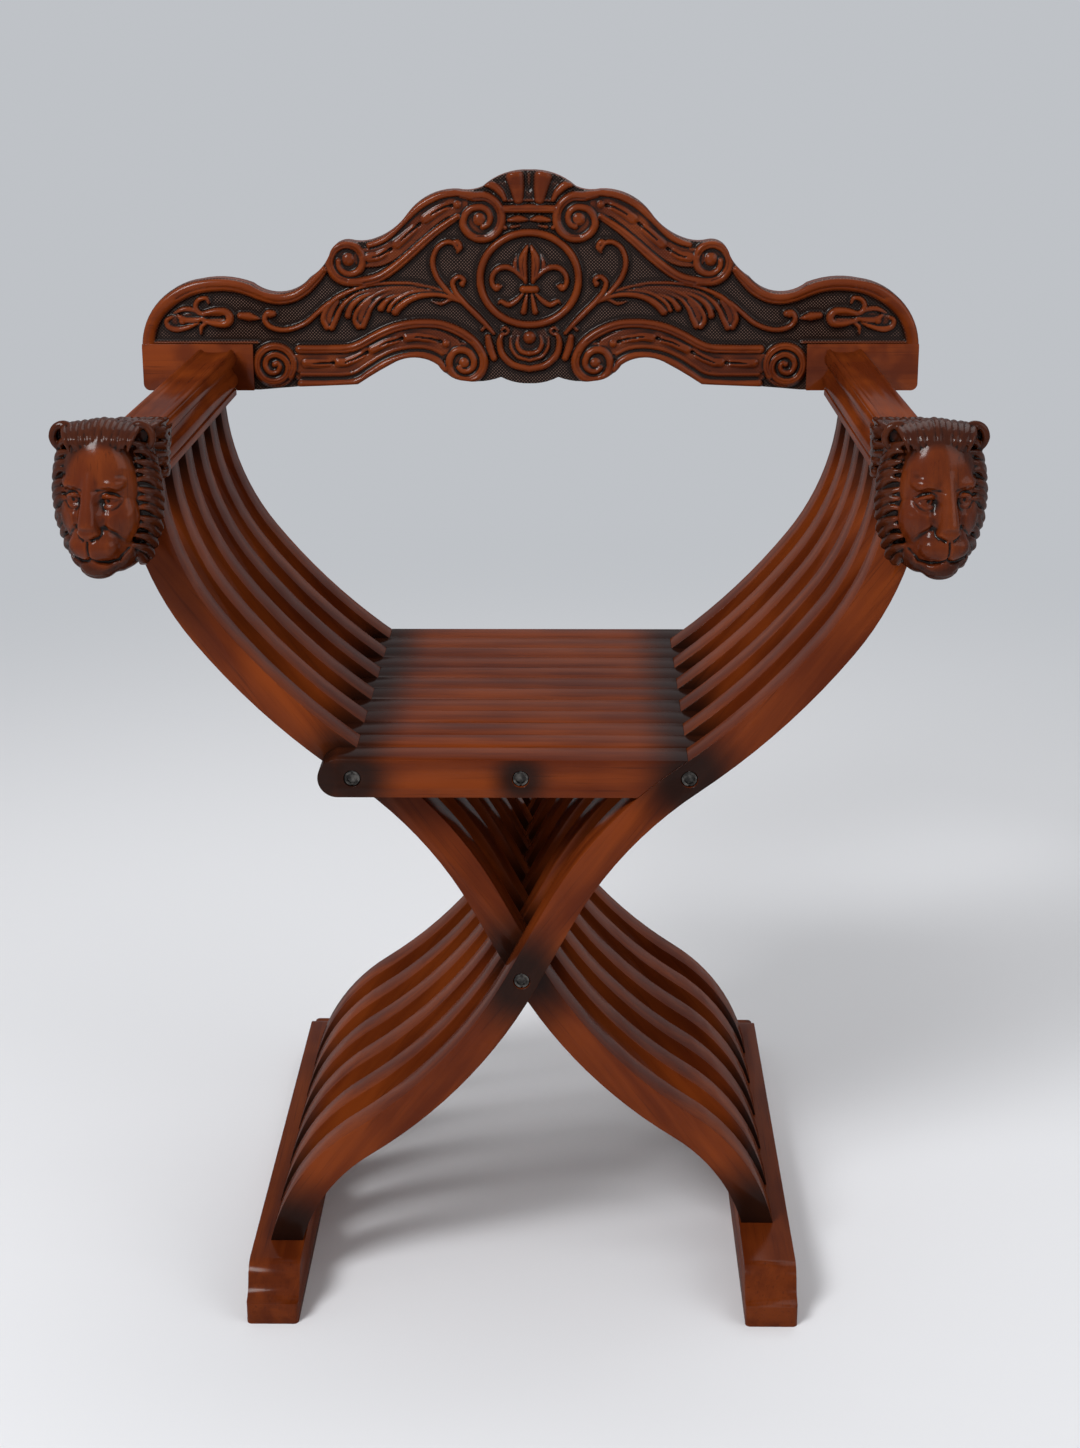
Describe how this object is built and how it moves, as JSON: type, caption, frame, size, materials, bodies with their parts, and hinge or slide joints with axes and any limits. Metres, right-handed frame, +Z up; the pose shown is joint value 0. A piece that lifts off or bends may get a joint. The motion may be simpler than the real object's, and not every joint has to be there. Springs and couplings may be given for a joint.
{
  "type": "savonarola chair",
  "caption": "Folding armchair of S-curved slats that cross in an X, with a slatted seat, runner feet, moulded arms with carved heads and a carved back board.",
  "frame": {"origin": "on the floor, in the middle of the chair's width and of its overall depth", "axes": "+X to the right as one faces the chair, +Y from front to back, +Z up"},
  "size_m": [0.674, 0.514, 0.8395],
  "materials": {
    "leg_slats": "dark walnut stain, semi-gloss lacquer",
    "seat_slats": "dark walnut stain, semi-gloss lacquer",
    "feet": "dark walnut stain, semi-gloss lacquer",
    "arms": "dark walnut stain, semi-gloss lacquer",
    "carved_heads": "dark walnut stain, semi-gloss lacquer",
    "carved_board": "dark walnut stain, semi-gloss lacquer",
    "steel": "dark, worn steel"
  },
  "bodies": {
    "crossing_rod": {"crossing_rod": "steel", "crossing_rod_nuts": "steel"},
    "left_foot_frame": {"left_foot": "feet", "left_leg_slat_1": "leg_slats", "left_leg_slat_2": "leg_slats", "left_leg_slat_3": "leg_slats", "left_leg_slat_4": "leg_slats", "left_leg_slat_5": "leg_slats", "left_leg_slat_6": "leg_slats", "right_arm": "arms", "right_arm_head": "carved_heads", "right_seat_rod": "steel", "right_seat_rod_nuts": "steel"},
    "right_foot_frame": {"right_foot": "feet", "right_leg_slat_1": "leg_slats", "right_leg_slat_2": "leg_slats", "right_leg_slat_3": "leg_slats", "right_leg_slat_4": "leg_slats", "right_leg_slat_5": "leg_slats", "right_leg_slat_6": "leg_slats", "left_arm": "arms", "left_arm_head": "carved_heads", "left_seat_rod": "steel", "left_seat_rod_nuts": "steel"},
    "left_seat": {"left_seat_slat_1": "seat_slats", "left_seat_slat_2": "seat_slats", "left_seat_slat_3": "seat_slats", "left_seat_slat_4": "seat_slats", "left_seat_slat_5": "seat_slats", "left_seat_slat_6": "seat_slats", "middle_rod_in_left_slats": "steel", "middle_rod_front_nut": "steel"},
    "right_seat": {"right_seat_slat_1": "seat_slats", "right_seat_slat_2": "seat_slats", "right_seat_slat_3": "seat_slats", "right_seat_slat_4": "seat_slats", "right_seat_slat_5": "seat_slats", "right_seat_slat_6": "seat_slats", "middle_rod_in_right_slats": "steel", "middle_rod_back_nut": "steel"},
    "back": {"back_board": "carved_board"}
  },
  "joints": [
    {"name": "left_foot_frame_fold", "type": "hinge", "parent": "crossing_rod", "child": "left_foot_frame", "pos_m": [0, 0, 0.2637], "axis": [0, -1, 0], "range_deg": [0, 29]},
    {"name": "right_foot_frame_fold", "type": "hinge", "parent": "crossing_rod", "child": "right_foot_frame", "pos_m": [0, 0, 0.2637], "axis": [0, 1, 0], "range_deg": [0, 29]},
    {"name": "left_seat_turn", "type": "hinge", "parent": "right_foot_frame", "child": "left_seat", "pos_m": [-0.125, 0, 0.4261], "axis": [0, -1, 0], "range_deg": [0, 105]},
    {"name": "right_seat_turn", "type": "hinge", "parent": "left_foot_frame", "child": "right_seat", "pos_m": [0.125, 0, 0.4261], "axis": [0, 1, 0], "range_deg": [0, 105]},
    {"name": "back_lift", "type": "slide", "parent": "crossing_rod", "child": "back", "axis": [0, 0, 1], "range_m": [0, 0.51]}
  ],
  "couplings": [
    {"joint": "right_foot_frame_fold", "follows": "left_foot_frame_fold", "ratio": 1},
    {"joint": "left_seat_turn", "follows": "left_foot_frame_fold", "ratio": 3.615},
    {"joint": "right_seat_turn", "follows": "left_foot_frame_fold", "ratio": 3.615},
    {"joint": "back_lift", "follows": "left_foot_frame_fold", "m_per_rad": 1}
  ]
}
